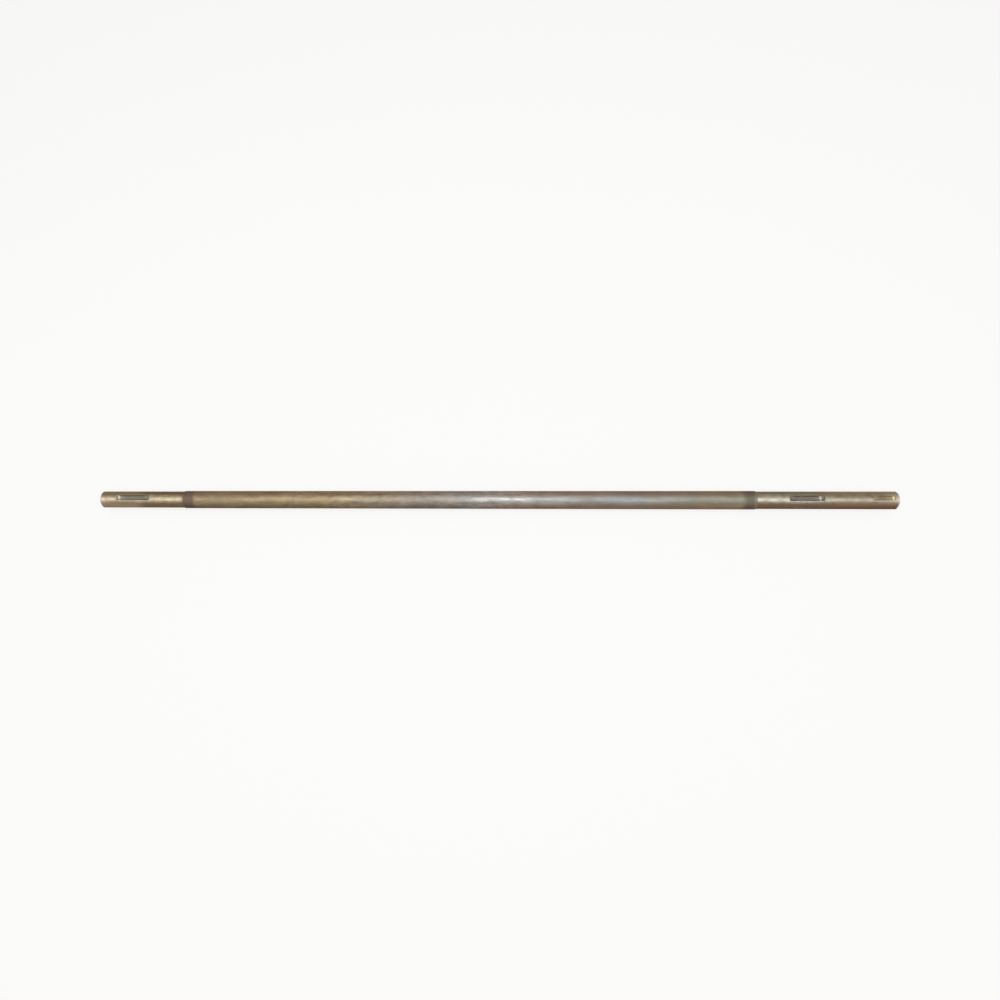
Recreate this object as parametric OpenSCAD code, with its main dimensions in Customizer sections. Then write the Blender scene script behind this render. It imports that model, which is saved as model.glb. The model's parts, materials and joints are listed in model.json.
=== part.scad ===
// Mower shaft: one bar turned down to a journal at each end, with disc-cut keyways in one line.
// The axis lies along X with the origin at mid length, and the keyways open towards +Z.

/* [Bar] */
// Overall length, end face to end face
shaft_len = 1193.8; // [900:0.1:1500]
// Diameter of the bar between the shoulders
body_d = 26.99; // [26.2:0.01:40]

/* [Journals] */
// Diameter of both turned journals
journal_d = 25.4; // [18:0.1:26]
// Length of the left journal, end face to shoulder
left_journal_len = 135.7; // [90:0.1:300]
// Length of the right journal, end face to shoulder
right_journal_len = 195.3; // [160:0.1:400]
// Root fillet where a journal meets its shoulder
shoulder_fillet_r = 0.4; // [0.1:0.05:0.8]
// Width of the bevel on the outer edge of a shoulder
shoulder_bevel = 0.2; // [0.05:0.05:0.4]
// Width of the bevel round both end faces
end_bevel = 1.6; // [0.5:0.1:3]

/* [Keyways] */
// Diameter of the disc cutter, which leaves an arc at both ends of a keyway
cutter_d = 50.8; // [30:0.1:80]
// Width of the left and right keyways
drive_key_w = 7.94; // [4:0.01:12]
// Depth of the left and right keyways, down their side walls
drive_key_depth = 3.97; // [2:0.01:6]
// Distance from the left end face to the middle of the left keyway
left_key_pos = 53.4; // [35:0.1:100]
// Length of the left keyway at its full depth
left_key_flat = 26; // [5:0.1:60]
// Distance from the right end face to the middle of the right keyway
right_key_pos = 126.2; // [75:0.1:160]
// Length of the right keyway at its full depth
right_key_flat = 19.5; // [5:0.1:60]
// Width of the tip keyway
tip_key_w = 6.35; // [3:0.01:9]
// Depth of the tip keyway, down its side walls
tip_key_depth = 3.18; // [1.5:0.01:5]
// Distance from the right end face to the middle of the tip keyway
tip_key_pos = 20.8; // [16:0.1:45]
// Length of the tip keyway at its full depth
tip_key_flat = 4; // [1:0.1:10]

/* [Centre holes] */
// Diameter of the countersunk mouth in each end face
centre_mouth_d = 9.5; // [5.5:0.1:14]
// Diameter of the pilot hole behind the countersink
centre_pilot_d = 4.8; // [1.5:0.1:5]
// Length of the straight pilot hole
centre_pilot_len = 5; // [2:0.1:12]

/* [Hidden] */
$fn = 96;

body_r = body_d / 2;
journal_r = journal_d / 2;
cutter_r = cutter_d / 2;
left_end = -shaft_len / 2;
right_end = shaft_len / 2;
left_shoulder = left_end + left_journal_len;
right_shoulder = right_end - right_journal_len;

// The fillet and the bevel share the height of the step, so a low step limits both
step = body_r - journal_r;
fillet_r = min(shoulder_fillet_r, step / 2);
bevel_w = min(shoulder_bevel, step / 4);

// Included angles of the lathe centre's cone and of the pilot drill's point
centre_angle = 60;
drill_point_angle = 118;
// How far a cutting tool reaches past the surface that it breaks through
overrun = 1;
// Turn of the lathe section about the axis, which brings the start of its sweep under the keyways
seam_turn = 180;

// Height above the axis of a keyway's floor: its depth is counted from the edges of its mouth
function key_floor(width, depth) = sqrt(journal_r * journal_r - width * width / 4) - depth;

// Half section of the turned bar, with radius across and length upwards
module turned_section() {
    polygon([
        [0, left_end],
        [journal_r - end_bevel, left_end],
        [journal_r, left_end + end_bevel],
        [journal_r, left_shoulder],
        [body_r - bevel_w, left_shoulder],
        [body_r, left_shoulder + bevel_w],
        [body_r, right_shoulder - bevel_w],
        [body_r - bevel_w, right_shoulder],
        [journal_r, right_shoulder],
        [journal_r, right_end - end_bevel],
        [journal_r - end_bevel, right_end],
        [0, right_end],
    ]);
    translate([journal_r, left_shoulder]) mirror([0, 1]) fillet_section();
    translate([journal_r, right_shoulder]) fillet_section();
}

// Section of a root fillet, with the journal's wall on its left and the shoulder under it
module fillet_section() {
    difference() {
        square(fillet_r);
        translate([fillet_r, fillet_r]) circle(fillet_r);
    }
}

// Lathe centre hole, drilled down from an end face at z = 0
module centre_hole() {
    mouth_r = centre_mouth_d / 2;
    pilot_r = centre_pilot_d / 2;
    sink_depth = (mouth_r - pilot_r) / tan(centre_angle / 2);
    pilot_end = sink_depth + centre_pilot_len;
    point_depth = pilot_r / tan(drill_point_angle / 2);
    translate([0, 0, -sink_depth]) cylinder(h = sink_depth, r1 = pilot_r, r2 = mouth_r);
    translate([0, 0, -pilot_end]) cylinder(h = pilot_end + overrun, r = pilot_r);
    translate([0, 0, -pilot_end - point_depth]) cylinder(h = point_depth, r1 = 0, r2 = pilot_r);
}

// Sweep of the disc cutter along a keyway: a flat floor that curves up into an arc at both ends
module keyway(middle, width, depth, flat) {
    floor_z = key_floor(width, depth);
    translate([middle, 0, floor_z]) {
        for (side = [-1, 1])
            translate([side * flat / 2, 0, cutter_r])
                rotate([90, 0, 0])
                    cylinder(h = width, r = cutter_r, center = true);
        translate([-flat / 2, -width / 2, 0]) cube([flat, width, journal_r - floor_z + overrun]);
    }
}

// The whole shaft, cut from one bar
module shaft() {
    color("darkkhaki") difference() {
        rotate([0, 90, 0]) rotate([0, 0, seam_turn]) rotate_extrude() turned_section();
        translate([left_end, 0, 0]) rotate([0, -90, 0]) centre_hole();
        translate([right_end, 0, 0]) rotate([0, 90, 0]) centre_hole();
        keyway(left_end + left_key_pos, drive_key_w, drive_key_depth, left_key_flat);
        keyway(right_end - right_key_pos, drive_key_w, drive_key_depth, right_key_flat);
        keyway(right_end - tip_key_pos, tip_key_w, tip_key_depth, tip_key_flat);
    }
}

shaft();
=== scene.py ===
"""Mower shaft: a fine mesh of the turned bar and keyways, its finishes, and the studio that shows it."""

import json
import math
from typing import NamedTuple

import bpy
import numpy as np
from mathutils import Matrix, Vector


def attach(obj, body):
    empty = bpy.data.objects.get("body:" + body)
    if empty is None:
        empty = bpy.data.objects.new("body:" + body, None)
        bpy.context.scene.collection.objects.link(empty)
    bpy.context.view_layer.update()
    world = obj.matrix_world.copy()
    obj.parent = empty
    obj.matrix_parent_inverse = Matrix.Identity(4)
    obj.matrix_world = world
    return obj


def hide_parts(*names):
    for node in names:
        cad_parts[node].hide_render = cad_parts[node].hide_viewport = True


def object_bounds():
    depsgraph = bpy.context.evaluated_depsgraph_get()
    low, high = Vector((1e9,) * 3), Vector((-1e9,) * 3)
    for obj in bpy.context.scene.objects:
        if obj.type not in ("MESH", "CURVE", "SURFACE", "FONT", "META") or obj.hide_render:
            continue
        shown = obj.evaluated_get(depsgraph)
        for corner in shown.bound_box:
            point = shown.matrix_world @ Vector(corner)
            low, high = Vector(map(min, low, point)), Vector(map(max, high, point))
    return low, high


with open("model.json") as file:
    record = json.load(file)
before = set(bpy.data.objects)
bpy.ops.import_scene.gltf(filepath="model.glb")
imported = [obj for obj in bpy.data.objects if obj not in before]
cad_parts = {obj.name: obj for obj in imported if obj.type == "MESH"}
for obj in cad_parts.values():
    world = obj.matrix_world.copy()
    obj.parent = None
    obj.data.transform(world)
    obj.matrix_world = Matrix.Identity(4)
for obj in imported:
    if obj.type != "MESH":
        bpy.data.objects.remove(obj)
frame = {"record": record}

CAD_LOW, CAD_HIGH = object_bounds()
MM = 0.001

# Sizes of the solid, in millimetres
MOUNTS = {mount["name"]: mount for mount in frame["record"]["mounts"]}
HALF_LENGTH = CAD_HIGH.x / MM
JOURNAL_R = MOUNTS["right_journal"]["dims"]["r_mm"]
BODY_R = 26.99 / 2
LEFT_JOURNAL_LEN = 135.7
RIGHT_JOURNAL_LEN = 195.3
LEFT_SHOULDER = -HALF_LENGTH + LEFT_JOURNAL_LEN
RIGHT_SHOULDER = HALF_LENGTH - RIGHT_JOURNAL_LEN
FILLET_R = 0.4
SHOULDER_BEVEL = 0.2
END_BEVEL = 1.6
CENTRE_MOUTH_R = 9.5 / 2
CENTRE_PILOT_R = 4.8 / 2
CENTRE_PILOT_LEN = 5
CENTRE_CONE = math.radians(60 / 2)
DRILL_POINT = math.radians(118 / 2)
CUTTER_R = 50.8 / 2
DRIVE_KEY_W = 7.94
DRIVE_KEY_DEPTH = 3.97
TIP_KEY_W = 6.35
TIP_KEY_DEPTH = 3.18

# The span of the shaft and of the bar between its shoulders
ENDS = (-HALF_LENGTH, HALF_LENGTH)
SHOULDERS = (LEFT_SHOULDER, RIGHT_SHOULDER)

# Steps of the mesh, in millimetres, and its columns round the shaft
BODY_PITCH = 6.0
JOURNAL_PITCH = 3.0
KEYWAY_PITCH = 0.8
WARP_FADE = 3.5
MOUTH_BEVEL = 0.2
WALL_DRAFT = 0.12
FLOOR_COLUMNS = 11
ROUND_COLUMNS = 116
FILLET_STEPS = 4
FACE_STEPS = 5
EDGE_SUPPORT = 0.5
SHARP_ANGLE = math.radians(24)

# Bare metal rubbed along the edges
MOUTH_WEAR = 0.4
SHOULDER_WEAR = 0.35

# Painted shade at the foot of a shoulder, at both ends of a keyway, and across it by column from the front
# edge
SHOULDER_CORNER_SHADE = 0.3
SLOT_END_SHADE = 0.35
SLOT_END_SHADE_LENGTH = 1.2
SLOT_CORNER_SHADE = ((2, 0.2), (3, 0.7), (4, 0.75), (5, 0.45), (-4, 0.15), (-3, 0.2))

# Zones of the surface, which are the mesh's material slots
BODY, JOURNAL, KEYWAY, END = range(4)


def add_object(name, data):
    """A new object in the scene."""
    made = bpy.data.objects.new(name, data)
    bpy.context.scene.collection.objects.link(made)
    return made


def add_node(tree, kind, inputs=None, **settings):
    """A new node with these settings, and with each input linked to a socket or set to a value."""
    made = tree.nodes.new(kind)
    for name, value in settings.items():
        setattr(made, name, value)
    for key, value in (inputs or {}).items():
        if isinstance(value, bpy.types.NodeSocket):
            tree.links.new(value, made.inputs[key])
        else:
            made.inputs[key].default_value = value
    return made


class Ring(NamedTuple):
    """A ring of the mesh: place along the shaft, radius, zone of the band after it, edge and root masks."""

    x: float
    radius: float
    zone: int
    edge: float = 0.0
    root: float = 0.0


class Keyway:
    """A slot cut by a disc: a flat floor along the shaft with an arc up to the surface at both ends."""

    def __init__(self, mount, width, depth, flat, corner_shade):
        self.middle = MOUNTS[mount]["pos_m"][0] / MM
        self.width = width
        self.flat = flat
        self.corner_shade = corner_shade
        self.floor = surface_height(width / 2) - depth
        self.side_half = self.half_length(width / 2)

    def half_length(self, y):
        """Half the mouth's length, measured at a distance y from its middle line."""
        rise = CUTTER_R + self.floor - surface_height(y)
        return self.flat / 2 + np.sqrt(CUTTER_R**2 - rise**2)

    def cut_height(self, x):
        """Height of the floor above the axis at a place along the shaft."""
        run = np.maximum(0, np.abs(x - self.middle) - self.flat / 2)
        return self.floor + CUTTER_R - np.sqrt(CUTTER_R**2 - run**2)

    def ends(self):
        return self.middle - self.side_half, self.middle + self.side_half


def surface_height(y):
    """Height of the journal's surface above the axis at a distance y from its top line."""
    return np.sqrt(JOURNAL_R**2 - np.square(y))


# The last number scales each slot's painted shade in its corners
LEFT_KEY = Keyway("left_keyway", DRIVE_KEY_W, DRIVE_KEY_DEPTH, flat=26, corner_shade=0.9)
RIGHT_KEY = Keyway("right_keyway", DRIVE_KEY_W, DRIVE_KEY_DEPTH, flat=19.5, corner_shade=1.0)
TIP_KEY = Keyway("tip_keyway", TIP_KEY_W, TIP_KEY_DEPTH, flat=4, corner_shade=0.45)
KEYWAYS = (LEFT_KEY, RIGHT_KEY, TIP_KEY)


def spread(start, stop, pitch):
    """Even places from start up to, but not including, stop."""
    count = max(1, math.ceil((stop - start) / pitch))
    return list(np.linspace(start, stop, count, endpoint=False))


def end_rings(side):
    """Rings of an end from the point of its centre hole out to the bevel: side is -1 for the left end."""
    sink = (CENTRE_MOUTH_R - CENTRE_PILOT_R) / math.tan(CENTRE_CONE)
    pilot = sink + CENTRE_PILOT_LEN
    point = pilot + CENTRE_PILOT_R / math.tan(DRILL_POINT)
    rim = JOURNAL_R - END_BEVEL
    hole = [(point, 0), (pilot, CENTRE_PILOT_R), (sink, CENTRE_PILOT_R)]
    face = spread(CENTRE_MOUTH_R + EDGE_SUPPORT, rim, rim / FACE_STEPS)
    edges = [(0, rim), (END_BEVEL, JOURNAL_R)]
    # Each ring is first placed by its distance in from the end face
    # The hole's rings get the full root mask: painted shade in the centre hole
    rings = [Ring(inset, radius, END, root=1) for inset, radius in hole]
    rings.append(Ring(0, CENTRE_MOUTH_R, END, edge=1))
    rings += [Ring(0, radius, END) for radius in face]
    rings += [Ring(inset, radius, END, edge=1) for inset, radius in edges]
    return [ring._replace(x=side * (HALF_LENGTH - ring.x)) for ring in rings]


def journal_places(start, stop, keyways):
    """Places of the rings along a journal, closer together along its keyways."""
    places = []
    for keyway in keyways:
        low, high = keyway.ends()
        limits = (low - WARP_FADE, low, high, high + WARP_FADE)
        places += spread(start, limits[0], JOURNAL_PITCH)
        for begin, end in zip(limits, limits[1:]):
            places += spread(begin, end, KEYWAY_PITCH)
        start = limits[-1]
    return places + spread(start, stop, JOURNAL_PITCH)


def shoulder_rings(shoulder, side):
    """Rings of a shoulder from the journal's wall to the body: side is -1 for a journal on the left."""
    rings = []
    for turn in np.linspace(0, math.pi / 2, FILLET_STEPS + 1):
        x = shoulder + side * FILLET_R * (1 - math.sin(turn))
        radius = JOURNAL_R + FILLET_R * (1 - math.cos(turn))
        # The fillet's rings get painted shade in the shoulder's corner
        rings.append(Ring(x, radius, JOURNAL, root=SHOULDER_CORNER_SHADE))
    rings.append(Ring(shoulder, BODY_R - SHOULDER_BEVEL, BODY, edge=SHOULDER_WEAR))
    rings.append(Ring(shoulder - side * SHOULDER_BEVEL, BODY_R, BODY, edge=SHOULDER_WEAR))
    rings.append(Ring(shoulder - side * (SHOULDER_BEVEL + EDGE_SUPPORT), BODY_R, BODY))
    return rings


def shaft_rings():
    """Every ring of the shaft from left to right."""
    left_end, right_end = end_rings(-1), end_rings(1)[::-1]
    left_step, right_step = shoulder_rings(LEFT_SHOULDER, -1), shoulder_rings(RIGHT_SHOULDER, 1)[::-1]
    left_wall = journal_places(left_end[-1].x + EDGE_SUPPORT, left_step[0].x, [LEFT_KEY])
    right_wall = journal_places(right_step[-1].x + EDGE_SUPPORT, right_end[0].x, [RIGHT_KEY, TIP_KEY])
    body = spread(left_step[-1].x + BODY_PITCH, right_step[0].x, BODY_PITCH)
    # The bands after the left end's bevel and after the right shoulder's bevel belong to the journals
    left_end[-1] = left_end[-1]._replace(zone=JOURNAL)
    right_step[2] = right_step[2]._replace(zone=JOURNAL)
    rings = left_end + [Ring(x, JOURNAL_R, JOURNAL) for x in left_wall] + left_step
    rings += [Ring(x, BODY_R, BODY) for x in body]
    rings += right_step + [Ring(x, JOURNAL_R, JOURNAL) for x in right_wall] + right_end
    return rings


def slot_width(x):
    """Width that the keyway columns keep at a place: that of the keyways there, eased over between them."""
    start, stop = RIGHT_KEY.ends()[1] + WARP_FADE, TIP_KEY.ends()[0] - WARP_FADE
    share = np.clip((x - start) / (stop - start), 0, 1)
    return DRIVE_KEY_W + (TIP_KEY_W - DRIVE_KEY_W) * share


def column_offsets(width):
    """Distances from the top line of the columns across a keyway: bevel, wall, floor, wall, bevel."""
    half = width / 2
    floor = np.linspace(WALL_DRAFT - half, half - WALL_DRAFT, FLOOR_COLUMNS + 1)
    return np.concatenate([[-half - MOUTH_BEVEL, -half], floor, [half, half + MOUTH_BEVEL]])


def column_angles(width):
    """Angles from the top line of every column round the shaft."""
    across = np.arcsin(column_offsets(width) / JOURNAL_R)
    gap = 2 * math.pi - (across[-1] - across[0])
    around = across[-1] + gap * np.arange(1, ROUND_COLUMNS + 1) / (ROUND_COLUMNS + 1)
    return np.concatenate([across, around])


def cut_keyway(keyway, places, points, edge, root, in_slot):
    """Moves the keyway columns down to the cutter's floor, with the rings bowed along the mouth's ends."""
    offsets = column_offsets(keyway.width)
    last = len(offsets) - 1
    halves = keyway.half_length(np.clip(offsets, -keyway.width / 2, keyway.width / 2))
    bow = halves - keyway.side_half
    wall_top = surface_height(keyway.width / 2)
    for ring, place in enumerate(places):
        along = place - keyway.middle
        past = abs(along) - keyway.side_half
        if past >= WARP_FADE:
            continue
        if past > 0:
            points[ring, : last + 1, 0] += np.sign(along) * bow * (1 - past / WARP_FADE)
            continue
        x = keyway.middle + along * halves / keyway.side_half
        floor = np.minimum(keyway.cut_height(x), surface_height(offsets))
        depth = max(0.0, wall_top - keyway.cut_height(place))
        points[ring, 1:last, 0] = x[1:last]
        points[ring, 2 : last - 1, 2] = floor[2 : last - 1]
        points[ring, [1, last - 1], 2] = wall_top - min(MOUTH_BEVEL, depth / 2)
        edge[ring, [0, last]] = min(MOUTH_WEAR, depth)
        # The root mask here is painted shade, towards the slot's ends and along its walls
        root[ring, 1:last] = SLOT_END_SHADE * max(0.0, 1 + past / SLOT_END_SHADE_LENGTH)
        for column, share in SLOT_CORNER_SHADE:
            across = column % (last + 1)
            root[ring, across] = max(root[ring, across], keyway.corner_shade * share * min(1, depth))
        in_slot[ring, :last] = True


def shaft_mesh():
    """The shaft's mesh, in metres, with zones as material slots and edge and root masks as attributes."""
    rings = shaft_rings()
    poles, rings = (rings[0], rings[-1]), rings[1:-1]
    places = np.array([ring.x for ring in rings])
    radii = np.array([ring.radius for ring in rings])
    angles = np.array([column_angles(slot_width(place)) for place in places])
    columns = angles.shape[1]

    def widen(values, kind=float):
        """The rings' values repeated for every column."""
        return np.repeat(np.array(values, kind)[:, None], columns, axis=1)

    across, upwards = radii[:, None] * np.sin(angles), radii[:, None] * np.cos(angles)
    points = np.stack([widen(places), across, upwards], axis=2)
    edge = widen([ring.edge for ring in rings])
    root = widen([ring.root for ring in rings])
    in_slot = np.zeros(angles.shape, bool)
    on_wall = np.where(radii == JOURNAL_R, places, np.inf)
    for keyway in KEYWAYS:
        cut_keyway(keyway, on_wall, points, edge, root, in_slot)

    corners = np.arange(points.shape[0] * columns).reshape(-1, columns)
    following = np.roll(corners, -1, axis=1)
    quads = np.stack([corners[:-1], corners[1:], following[1:], following[:-1]], axis=2).reshape(-1, 4)
    zone = widen([ring.zone for ring in rings[:-1]], int)
    zone = np.where(in_slot[:-1] & in_slot[1:], KEYWAY, zone).reshape(-1)
    first, second = corners.size, corners.size + 1
    caps = [(first, a, b) for a, b in zip(corners[0], following[0])]
    caps += [(a, second, b) for a, b in zip(corners[-1], following[-1])]

    vertices = np.concatenate([points.reshape(-1, 3), [(pole.x, 0, 0) for pole in poles]]) * MM
    mesh = bpy.data.meshes.new("turned_shaft")
    mesh.from_pydata(vertices.tolist(), [], quads.tolist() + caps)
    mesh.polygons.foreach_set("material_index", np.concatenate([zone, [END] * len(caps)]).astype(np.int32))
    for name, mask in (("edge", edge), ("root", root)):
        values = np.concatenate([mask.reshape(-1), [0, 0]]).astype(np.float32)
        mesh.attributes.new(name, "FLOAT", "POINT").data.foreach_set("value", values)
    mesh.shade_smooth()
    mesh.set_sharp_from_angle(angle=SHARP_ANGLE)
    mesh.update()
    return mesh


def linear(red, green, blue):
    """A colour given as it shows on a screen, from 0 to 255, as the renderer's linear colour."""
    shown = np.array([red, green, blue]) / 255
    return (*np.where(shown <= 0.04045, shown / 12.92, ((shown + 0.055) / 1.055) ** 2.4), 1.0)


# Colours of the steel, of what lies on it, and of the painted shade on its flanks and in its corners
STRAW = linear(158, 143, 116)
PALE_STRAW = linear(168, 151, 121)
BRIGHT_STEEL = linear(166, 165, 163)
COOL_STEEL = linear(153, 157, 158)
OLIVE_STEEL = linear(152, 151, 137)
LEFT_FILM_AND_SHADE = linear(150, 130, 105)
RIGHT_FILM_AND_SHADE = linear(168, 136, 108)
RUSSET = linear(158, 131, 105)
HEAT_BROWN = linear(137, 117, 104)
HEAT_OLIVE = linear(133, 128, 112)
HEAT_PLUM = linear(134, 112, 103)
END_JOURNAL = linear(200, 185, 164)
TAN_JOURNAL = linear(180, 167, 140)
GREY_JOURNAL = linear(174, 170, 154)
DULL_JOURNAL = linear(156, 149, 132)
TAN_FILM_AND_SHADE = linear(124, 104, 85)
GREY_FILM_AND_SHADE = linear(142, 125, 107)
LEFT_END_FILM_AND_SHADE = linear(156, 133, 107)
RIGHT_END_FILM_AND_SHADE = linear(164, 143, 117)
TAN_SHADE = linear(122, 103, 83)
RED_SHADE = linear(115, 91, 72)
LEFT_SLOT = linear(131, 128, 116)
RIGHT_SLOT = linear(121, 115, 108)
TIP_SLOT = linear(142, 132, 107)
BARE_EDGE = linear(226, 218, 208)
# Colour of dark specks, and of the painted shade in the corners
DIRT_AND_CORNER_SHADE = linear(64, 54, 46)

# What is left of the steel's reflection at a glancing angle
BODY_EDGE_TINT = linear(116, 100, 84)
EDGE_TINT = linear(150, 130, 110)

# A mix node's sockets for colours: the share, the colour under and over, and the result
MIX_SHARE, MIX_UNDER, MIX_OVER, MIX_RESULT = 0, 6, 7, 2


class Finish:
    """One procedural material, driven by the shaft's own coordinates in millimetres."""

    def __init__(self, name):
        self.material = bpy.data.materials.new(name)
        self.material.use_nodes = True
        self.tree = self.material.node_tree
        self.shader = self.tree.nodes["Principled BSDF"]
        place = self.node("ShaderNodeTexCoord").outputs["Object"]
        scaled = self.node("ShaderNodeVectorMath", {0: place, "Scale": 1 / MM}, operation="SCALE")
        self.place = scaled.outputs[0]
        split = self.node("ShaderNodeSeparateXYZ", {0: self.place})
        self.x, self.y, self.z = split.outputs

    def node(self, kind, inputs=None, **settings):
        return add_node(self.tree, kind, inputs, **settings)

    def math(self, operation, first, second=0.0):
        return self.node("ShaderNodeMath", {0: first, 1: second}, operation=operation).outputs[0]

    def plus(self, first, second):
        return self.math("ADD", first, second)

    def minus(self, first, second):
        return self.math("SUBTRACT", first, second)

    def times(self, first, second):
        return self.math("MULTIPLY", first, second)

    def noise(self, along, across, detail=2.0, seed=0.0, turn=0.0):
        """Noise from 0 to 1 whose grains are that long, in millimetres, along the shaft and across it."""
        turned = self.node("ShaderNodeMapping", {"Vector": self.place, "Rotation": (0, 0, turn)}).outputs[0]
        scale = (1 / along, 1 / across, 1 / across)
        mapping = {"Vector": turned, "Location": (seed, seed, seed), "Scale": scale}
        mapped = self.node("ShaderNodeMapping", mapping).outputs[0]
        made = self.node("ShaderNodeTexNoise", {"Vector": mapped, "Scale": 1.0, "Detail": detail})
        return made.outputs[0]

    def step(self, value, low, high):
        """0 below low, 1 above high, eased between them. It falls instead where low is above high."""
        fall = low > high
        inputs = {"Value": value, "From Min": min(low, high), "From Max": max(low, high)}
        inputs |= {"To Min": float(fall), "To Max": float(not fall)}
        return self.node("ShaderNodeMapRange", inputs, interpolation_type="SMOOTHSTEP").outputs[0]

    def near(self, value, middle, start, full):
        """1 where the value is within full of the middle, eased to 0 where it is start away from it."""
        return self.step(self.math("ABSOLUTE", self.minus(value, middle)), start, full)

    def patches(self, along, across, low, high, **settings):
        """Noise turned into patches: none where it is below low, full where it is above high."""
        return self.step(self.noise(along, across, **settings), low, high)

    def scratches(self, along, width, **settings):
        """Fine slanting scratches, which run where a noise of long thin grains passes its middle."""
        return self.near(self.noise(along, SCRATCH_GRAIN, **settings), 0.5, width, 0.0)

    def lerp(self, share, low, high):
        """A number that goes from low to high as share goes from 0 to 1."""
        return self.plus(self.times(share, high - low), low)

    def blend(self, share, under, over, mode="MIX"):
        inputs = {MIX_SHARE: share, MIX_UNDER: under, MIX_OVER: over}
        return self.node("ShaderNodeMix", inputs, data_type="RGBA", blend_type=mode).outputs[MIX_RESULT]

    def coat(self, colour, over, share, mask):
        """The colour with that share of another laid over it where the mask is full."""
        return self.blend(self.times(mask, share), colour, over)

    def dim(self, colour, share, low, high):
        """The colour made darker or lighter, by a factor from low to high as share goes from 0 to 1."""
        factor = self.node("ShaderNodeCombineColor", {i: self.lerp(share, low, high) for i in range(3)})
        return self.blend(1.0, colour, factor.outputs[0], "MULTIPLY")

    def along(self, start, stop):
        """How far a place is on the way along the shaft from start to stop, from 0 to 1."""
        inputs = {"Value": self.x, "From Min": start, "From Max": stop}
        return self.node("ShaderNodeMapRange", inputs).outputs[0]

    def tints(self, stops, start, stop):
        """Colours along the shaft: two or more stops of (share of the way from start to stop, colour)."""
        ramp = self.node("ShaderNodeValToRGB", {0: self.along(start, stop)})
        points = ramp.color_ramp.elements
        while len(points) < len(stops):
            points.new(1.0)
        for point, (place, colour) in zip(points, stops):
            point.position = place
            point.color = colour
        return ramp.outputs[0]

    def levels(self, stops, start, stop):
        """Numbers from 0 to 1 along the shaft, given as tints are."""
        greys = [(place, (number, number, number, 1.0)) for place, number in stops]
        return self.tints(greys, start, stop)

    def mask(self, name):
        return self.node("ShaderNodeAttribute", attribute_name=name).outputs["Fac"]

    def finish(self, colour, roughness, height, depth, edge_tint):
        """Sets the shader: depth is the height of the relief, in millimetres."""
        bump = self.node("ShaderNodeBump", {"Height": height, "Strength": 1.0, "Distance": depth * MM})
        links = {"Base Color": colour, "Roughness": roughness, "Normal": bump.outputs[0]}
        for socket, value in links.items():
            self.tree.links.new(value, self.shader.inputs[socket])
        self.shader.inputs["Metallic"].default_value = 1.0
        self.shader.inputs["Specular Tint"].default_value = edge_tint
        return self.material


# The flanks are darker and browner: partly the oil film that the top line has lost, partly painted shade
# Height above the axis where it starts and where it is full, as shares of the radius
BODY_FILM_AND_SHADE = (0.94, 0.58)
JOURNAL_FILM_AND_SHADE = (0.99, 0.74)

# How far the edge of the flanks' film and painted shade wanders up and down, as a share of the radius
FLANK_DRIFT = 0.16

# How far the top line, clear of the film and painted shade, leans to the front, in degrees, at shares of
# the way along the shaft
BODY_LEANS = ((0.1, 17), (0.18, 18), (0.27, 24), (0.45, 18), (0.58, 13), (0.85, 10))
JOURNAL_LEANS = ((0.04, 22), (0.065, 14), (0.88, 3), (0.94, 0))

# How much further up the bar's film and painted shade reach, as a share of the radius, at shares of the way
# along the shaft
BODY_REACHES = ((0.5, 0.0), (0.62, 0.05))

# The front flank is darker still, as painted shade, from the first to the second share of the radius
BODY_SHADE = (-0.64, -0.91)
JOURNAL_SHADE = (-0.6, -0.9)

# How uneven the bar's colour is at shares of the way between the shoulders
UNEVEN_LEVELS = ((0.1, 0.7), (0.27, 0.95), (0.5, 1.0), (0.64, 0.8), (0.76, 0.35))

# Masks of the bar: a middle, and the distances from it where the mask starts and is full, in millimetres
# POLISH is the stretch that is rubbed bright, with lighter dashes that are partly painted glints, and STRIP
# the line across it where it is brightest
# CLEAN is a longer stretch whose flanks carry less of the film and painted shade
POLISH = (36, 64, 20)
STRIP = (-2.2, 2.6, 0.5)
CLEAN = (-60, 125, 70)

# Heat bands: distances from the shoulder where each is full and has faded, and how far the edge wanders
LEFT_HEAT = (13, 21)
RIGHT_HEAT = (13, 23)
HEAT_WANDER = 3.0

# Distances from the right shoulder between which its band is rubbed thin, and what is left of it there
RUBBED = (2, 6)
RUBBED_HEAT = 0.45

# Shares of the specks and scratches that show, and the width across a scratch's grain, in millimetres
SPECK_SHARE = 0.4
SCRATCH_SHARE = 0.15
SCRATCH_GRAIN = 0.5

# Share of the film that lies in patches, and what it adds to the roughness
FILM_SHARE = 0.3
FILM_ROUGHNESS = 0.06

# Heights of the fine relief, in millimetres
BODY_RELIEF = 0.003
JOURNAL_RELIEF = 0.002
KEYWAY_RELIEF = 0.001
END_RELIEF = 0.002


def shade_corners_and_wear(surface, colour):
    """The colour with painted shade in the corners and bare metal rubbed along the outer edges."""
    patchy = surface.patches(5, 5, 0.25, 0.45, detail=3, seed=7)
    colour = surface.blend(surface.mask("root"), colour, DIRT_AND_CORNER_SHADE)
    return surface.coat(colour, BARE_EDGE, patchy, surface.mask("edge"))


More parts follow.
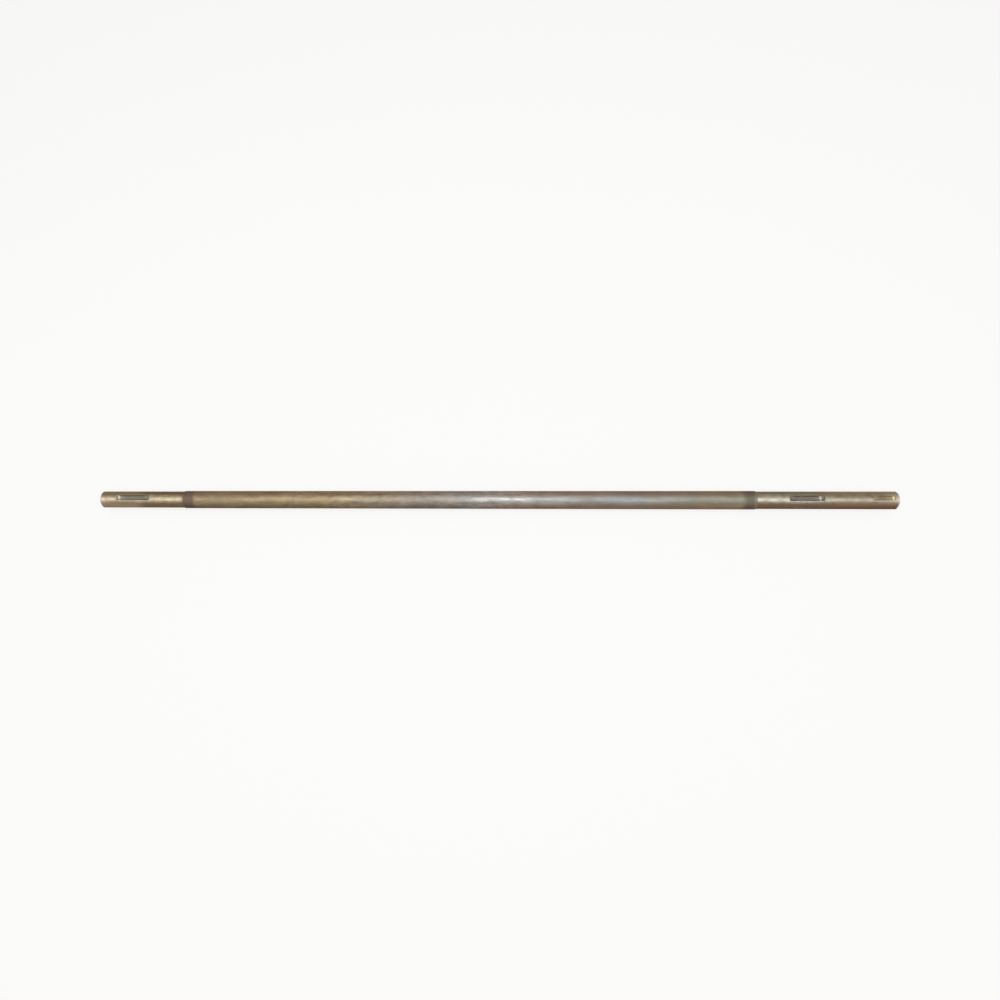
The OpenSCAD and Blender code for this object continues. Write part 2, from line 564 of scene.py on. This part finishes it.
def flank(surface, radius, leans, film, reaches=None):
    """How much of the brown film and painted shade a place takes: none along the top line, all of it low on
    the flanks.
    """
    sines = [(share, math.sin(math.radians(degrees))) for share, degrees in leans]
    lean = surface.levels(sines, *ENDS)
    lift = surface.minus(surface.z, surface.times(surface.y, lean))
    lift = surface.math("DIVIDE", lift, radius)
    if reaches:
        lift = surface.minus(lift, surface.levels(reaches, *ENDS))
    drift = surface.lerp(surface.noise(80, 8, detail=3, seed=9), -FLANK_DRIFT, FLANK_DRIFT)
    return surface.step(surface.plus(lift, drift), *film)


def front(surface, radius, shade):
    """How far down the front flank a place is, which sets its painted shade."""
    return surface.step(surface.y, shade[0] * radius, shade[1] * radius)


def heat_bands(steel):
    """How strong the heat tint beside the shoulders is."""
    wandering = steel.lerp(steel.noise(8, 14, detail=3, seed=5), -HEAT_WANDER, HEAT_WANDER)
    place = steel.plus(steel.x, wandering)
    left = steel.step(place, LEFT_SHOULDER + LEFT_HEAT[1], LEFT_SHOULDER + LEFT_HEAT[0])
    right = steel.step(place, RIGHT_SHOULDER - RIGHT_HEAT[1], RIGHT_SHOULDER - RIGHT_HEAT[0])
    rubbed = steel.step(steel.x, RIGHT_SHOULDER - RUBBED[1], RIGHT_SHOULDER - RUBBED[0])
    return steel.math("MAXIMUM", left, steel.times(right, steel.lerp(rubbed, 1.0, RUBBED_HEAT)))


def body_finish():
    """Drawn bar under an oil film, with flanks darkened partly by painted shade, rubbed bright at mid
    length with partly painted glints, and heat tint beside the shoulders.
    """
    steel = Finish("steel_body")
    straw = [(0.0, STRAW), (0.26, PALE_STRAW)]
    bare = [(0.52, BRIGHT_STEEL), (0.61, BRIGHT_STEEL), (0.78, COOL_STEEL), (0.91, OLIVE_STEEL)]
    colour = steel.tints(straw + bare, *SHOULDERS)
    oil_and_flank_shade = steel.tints([(0.1, LEFT_FILM_AND_SHADE), (0.5, RIGHT_FILM_AND_SHADE)], *SHOULDERS)
    low = flank(steel, BODY_R, BODY_LEANS, BODY_FILM_AND_SHADE, BODY_REACHES)
    clean = steel.near(steel.x, *CLEAN)
    polish = steel.near(steel.x, *POLISH)
    strip = steel.near(steel.y, *STRIP)
    heat = heat_bands(steel)

    drawn = steel.noise(140, 0.9, seed=1)
    lines = steel.noise(40, 0.3, seed=2)
    mottle = steel.noise(18, 7, detail=3, seed=14)
    grain = steel.noise(6, 3, detail=3, seed=18)
    film = steel.patches(60, 10, 0.45, 0.75, detail=4, seed=3)
    stains = steel.patches(26, 4, 0.48, 0.7, detail=5, seed=6)
    bright = steel.patches(50, 5, 0.4, 0.7, detail=4, seed=8)
    rubbed_dashes_and_glints = steel.patches(9, 1.2, 0.5, 0.62, detail=3, seed=15)
    specks = steel.patches(1.1, 1.1, 0.68, 0.78, seed=4)
    scratches = steel.scratches(30, 0.012, turn=0.3)

    # The oil film, on the flanks partly painted shade, and russet stains that thin out towards the right
    colour = steel.coat(colour, oil_and_flank_shade, steel.lerp(clean, 0.8, 0.45), low)
    colour = steel.dim(colour, clean, 1.0, 0.96)
    colour = steel.coat(colour, oil_and_flank_shade, FILM_SHARE, film)
    colour = steel.coat(colour, RUSSET, steel.lerp(steel.along(*SHOULDERS), 0.42, 0.1), stains)

    # Unevenness from large to small
    uneven = steel.plus(steel.lerp(mottle, -0.48, 0.48), steel.lerp(grain, -0.28, 0.28))
    uneven = steel.times(uneven, steel.levels(UNEVEN_LEVELS, *SHOULDERS))
    colour = steel.dim(colour, bright, 0.94, 1.08)
    colour = steel.dim(colour, uneven, 1.0, 2.0)
    colour = steel.dim(colour, drawn, 0.85, 1.15)
    colour = steel.coat(colour, DIRT_AND_CORNER_SHADE, SPECK_SHARE, specks)
    colour = steel.coat(colour, BARE_EDGE, SCRATCH_SHARE, scratches)

    # Heat tint, which turns plum on the flanks under the flank mask, painted shade on the front flank, and
    # the rubbed stretch
    heat_tint = steel.tints([(0.0, HEAT_BROWN), (1.0, HEAT_OLIVE)], *SHOULDERS)
    colour = steel.blend(heat, colour, steel.blend(low, heat_tint, HEAT_PLUM))
    shade = steel.lerp(steel.along(0, RIGHT_SHOULDER), 1.0, 0.7)
    colour = steel.dim(colour, steel.times(front(steel, BODY_R, BODY_SHADE), shade), 1.0, 0.68)
    # Lighter dashes in the rubbed stretch: partly painted glints
    colour = steel.dim(colour, steel.times(rubbed_dashes_and_glints, polish), 0.97, 1.2)

    rubbing = steel.times(steel.times(polish, steel.lerp(rubbed_dashes_and_glints, 0.13, 0.22)), steel.lerp(strip, 0.5, 1.0))
    roughness = steel.plus(steel.lerp(drawn, 0.52, 0.6), steel.times(film, FILM_ROUGHNESS))
    roughness = steel.minus(steel.plus(roughness, steel.times(heat, 0.14)), rubbing)
    height = steel.minus(steel.plus(drawn, lines), specks)
    return steel.finish(shade_corners_and_wear(steel, colour), roughness, height, BODY_RELIEF, BODY_EDGE_TINT)


def journal_finish():
    """Turned seats, cleaner than the bar, with the lathe's fine rings and a few slanting scratches."""
    steel = Finish("steel_journal")
    left = [(0.0, END_JOURNAL), (0.03, TAN_JOURNAL), (0.1, TAN_JOURNAL)]
    right = [(0.88, GREY_JOURNAL), (0.93, DULL_JOURNAL), (0.98, DULL_JOURNAL), (1.0, END_JOURNAL)]
    colour = steel.tints(left + right, *ENDS)
    left_oil = [(0.048, LEFT_END_FILM_AND_SHADE), (0.062, TAN_FILM_AND_SHADE)]
    right_oil = [(0.9, GREY_FILM_AND_SHADE), (0.94, RIGHT_END_FILM_AND_SHADE)]
    oil_and_flank_shade = steel.tints(left_oil + right_oil, *ENDS)
    shade = steel.tints([(0.048, LEFT_END_FILM_AND_SHADE), (0.062, TAN_SHADE), (0.83, RED_SHADE)], *ENDS)
    low = flank(steel, JOURNAL_R, JOURNAL_LEANS, JOURNAL_FILM_AND_SHADE)

    rings = steel.noise(0.3, 60, seed=11)
    bands = steel.noise(7, 300, detail=3, seed=12)
    film = steel.patches(16, 7, 0.5, 0.75, detail=4, seed=13)
    blotches = steel.patches(9, 6, 0.35, 0.65, detail=3, seed=16)
    scratches = steel.scratches(14, 0.009, seed=17, turn=0.5)

    colour = steel.dim(colour, blotches, 0.86, 1.14)
    # The flanks take the film, partly painted shade
    colour = steel.coat(colour, oil_and_flank_shade, 0.9, low)
    # Painted shade on the front flank
    colour = steel.blend(front(steel, JOURNAL_R, JOURNAL_SHADE), colour, shade)
    colour = steel.coat(colour, oil_and_flank_shade, FILM_SHARE, film)
    colour = steel.dim(colour, bands, 0.88, 1.12)
    colour = steel.dim(colour, rings, 0.86, 1.14)
    colour = steel.coat(colour, BARE_EDGE, SCRATCH_SHARE, scratches)
    roughness = steel.plus(steel.lerp(bands, 0.36, 0.42), steel.times(film, FILM_ROUGHNESS))
    height = steel.minus(rings, scratches)
    return steel.finish(shade_corners_and_wear(steel, colour), roughness, height, JOURNAL_RELIEF, EDGE_TINT)


def keyway_finish():
    """Milled slots with cutter marks: walls and inner ends rougher and made paler by painted light, outer
    ends glossier.
    """
    steel = Finish("steel_keyway")
    stops = [(0.1, LEFT_SLOT), (0.85, RIGHT_SLOT), (0.93, RIGHT_SLOT), (0.97, TIP_SLOT)]
    colour = steel.tints(stops, *ENDS)
    marks = steel.noise(0.6, 20, seed=21)
    stain = steel.patches(6, 4, 0.45, 0.75, detail=4, seed=22)

    # The surface's own direction tells the walls and the two ends of a slot from its floor
    normal = steel.node("ShaderNodeNewGeometry").outputs["Normal"]
    normal_x, normal_y, _ = steel.node("ShaderNodeSeparateXYZ", {0: normal}).outputs
    wall = steel.step(steel.math("ABSOLUTE", normal_y), 0.4, 0.8)
    outward = steel.times(normal_x, steel.math("SIGN", steel.x))
    rough_and_painted_light = steel.math("MAXIMUM", wall, steel.step(outward, 0.02, 0.42))
    gloss = steel.step(outward, -0.02, -0.2)

    colour = steel.coat(colour, TAN_FILM_AND_SHADE, 0.35, stain)
    colour = steel.dim(colour, marks, 0.92, 1.08)
    # Painted light: the walls and inner ends, which lie in shade, are made paler
    colour = steel.dim(colour, rough_and_painted_light, 1.0, 2.15)
    roughness = steel.plus(steel.lerp(marks, 0.34, 0.39), steel.times(rough_and_painted_light, 0.3))
    roughness = steel.minus(roughness, steel.times(gloss, 0.11))
    return steel.finish(shade_corners_and_wear(steel, colour), roughness, marks, KEYWAY_RELIEF, EDGE_TINT)


def end_finish():
    """Faced ends with rings round the axis and brown stains."""
    steel = Finish("steel_end")
    flat = steel.node("ShaderNodeCombineXYZ", {1: steel.y, 2: steel.z}).outputs[0]
    radius = steel.node("ShaderNodeVectorMath", {0: flat}, operation="LENGTH").outputs["Value"]
    turning = {"W": radius, "Scale": 4.0, "Detail": 2.0}
    rings = steel.node("ShaderNodeTexNoise", turning, noise_dimensions="1D").outputs[0]
    stain = steel.patches(5, 5, 0.45, 0.75, detail=4, seed=31)
    colour = steel.coat(GREY_JOURNAL, LEFT_FILM_AND_SHADE, 0.4, stain)
    colour = steel.dim(colour, rings, 0.88, 1.12)
    return steel.finish(shade_corners_and_wear(steel, colour), steel.lerp(stain, 0.32, 0.45), rings, END_RELIEF, EDGE_TINT)


def build_shaft():
    """The dressed shaft in place of the plain solid."""
    mesh = shaft_mesh()
    for finish in (body_finish, journal_finish, keyway_finish, end_finish):
        mesh.materials.append(finish())
    shaft = add_object("turned_shaft", mesh)
    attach(shaft, "root")
    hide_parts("shaft")


# The photograph's view, with the frame taken as a square of this many pixels
FRAME_PX = 1000
VIEW_HEIGHT = math.radians(75.5)
VIEW_YAW = math.radians(5.92)
VIEW_DISTANCE = 1.18
VIEW_FOOT_X = 0.024
VIEW_ROLL = math.radians(0.07)
FOCAL_PX = 775.8
CENTRE_PX = (414.7, 499.83)
SENSOR_MM = 36.0


def build_camera():
    """A camera over the shaft, square to it at the foot point and turned a little towards its left end."""
    data = bpy.data.cameras.new("camera")
    data.sensor_width = SENSOR_MM
    data.lens = FOCAL_PX * SENSOR_MM / FRAME_PX
    data.shift_x = 0.5 - CENTRE_PX[0] / FRAME_PX
    data.shift_y = CENTRE_PX[1] / FRAME_PX - 0.5
    out = Vector((0, -math.cos(VIEW_HEIGHT), math.sin(VIEW_HEIGHT)))
    up = Vector((0, math.sin(VIEW_HEIGHT), math.cos(VIEW_HEIGHT)))
    along = Vector((1, 0, 0))
    back = out * math.cos(VIEW_YAW) + along * math.sin(VIEW_YAW)
    right = along * math.cos(VIEW_YAW) - out * math.sin(VIEW_YAW)
    place = along * VIEW_FOOT_X + out * VIEW_DISTANCE
    turn = Matrix((right, up, back)).transposed().to_4x4() @ Matrix.Rotation(VIEW_ROLL, 4, "Z")
    camera = add_object("camera", data)
    camera.matrix_world = Matrix.Translation(place) @ turn
    bpy.context.scene.camera = camera


# The studio, in metres
FLOOR_SIZE = 200.0
FLOOR_COLOUR = (0.82, 0.815, 0.805, 1.0)
FLOOR_GLOW = 0.8
LAMP_REACH = 1.6
SKY_LEVEL = 0.6
HORIZON_LEVEL = 0.42
WORLD_COLOUR = (1.05, 1.0, 0.92, 1.0)


def floor_material():
    """A dull pale surface that shows nearly white to the camera and in the shaft's reflections."""
    material = bpy.data.materials.new("floor")
    material.use_nodes = True
    tree = material.node_tree
    shader = tree.nodes["Principled BSDF"]
    shader.inputs["Base Color"].default_value = FLOOR_COLOUR
    shader.inputs["Roughness"].default_value = 1.0
    shader.inputs["Specular IOR Level"].default_value = 0.0
    rays = add_node(tree, "ShaderNodeLightPath")
    seen = 0.0
    for ray in ("Is Camera Ray", "Is Glossy Ray", "Is Transmission Ray"):
        either = {0: rays.outputs[ray], 1: seen}
        seen = add_node(tree, "ShaderNodeMath", either, operation="MAXIMUM").outputs[0]
    share = add_node(tree, "ShaderNodeMath", {0: seen, 1: FLOOR_GLOW}, operation="MULTIPLY").outputs[0]
    glow = add_node(tree, "ShaderNodeEmission").outputs[0]
    mixed = add_node(tree, "ShaderNodeMixShader", {0: share, 1: shader.outputs[0], 2: glow})
    tree.links.new(mixed.outputs[0], tree.nodes["Material Output"].inputs["Surface"])
    return material


def build_floor():
    """A plain pale floor that the shaft lies on."""
    half = FLOOR_SIZE / 2
    corners = [(x * half, y * half, CAD_LOW.z) for x, y in ((-1, -1), (1, -1), (1, 1), (-1, 1))]
    mesh = bpy.data.meshes.new("floor")
    mesh.from_pydata(corners, [], [(0, 1, 2, 3)])
    mesh.materials.append(floor_material())
    floor = add_object("floor", mesh)


def build_lamp(name, size, along, turn, radiance, colour):
    """A soft rectangular lamp over the shaft, swung back about the shaft's axis by that many degrees."""
    data = bpy.data.lights.new(name, "AREA")
    data.shape = "RECTANGLE"
    data.size, data.size_y = size
    data.energy = radiance * math.pi * size[0] * size[1]
    data.color = colour
    lamp = add_object(name, data)
    swing = Matrix.Rotation(-math.radians(turn), 4, "X")
    lamp.matrix_world = swing @ Matrix.Translation((along, 0, LAMP_REACH))
    lamp.visible_camera = False


def build_world():
    """An even room that is dimmer towards the horizon."""
    world = bpy.data.worlds.new("world")
    world.use_nodes = True
    tree = world.node_tree
    background = tree.nodes["Background"]
    background.inputs["Color"].default_value = WORLD_COLOUR
    direction = add_node(tree, "ShaderNodeTexCoord").outputs["Generated"]
    height = add_node(tree, "ShaderNodeSeparateXYZ", {0: direction}).outputs["Z"]
    inputs = {"Value": height, "To Min": HORIZON_LEVEL, "To Max": SKY_LEVEL}
    level = add_node(tree, "ShaderNodeMapRange", inputs).outputs[0]
    tree.links.new(level, background.inputs["Strength"])
    bpy.context.scene.world = world


build_camera()
build_shaft()
build_floor()
build_lamp("long_lamp", size=(3.0, 1.2), along=0.0, turn=-10, radiance=1.7, colour=(0.98, 1.0, 1.04))
build_lamp("short_lamp", size=(0.24, 0.32), along=0.052, turn=-5, radiance=2.9, colour=(0.95, 1.0, 1.08))
build_lamp("spot_lamp", size=(0.18, 0.18), along=-0.05, turn=14, radiance=12.0, colour=(1.0, 0.98, 0.92))
build_world()
bpy.context.scene.view_settings.view_transform = "Standard"
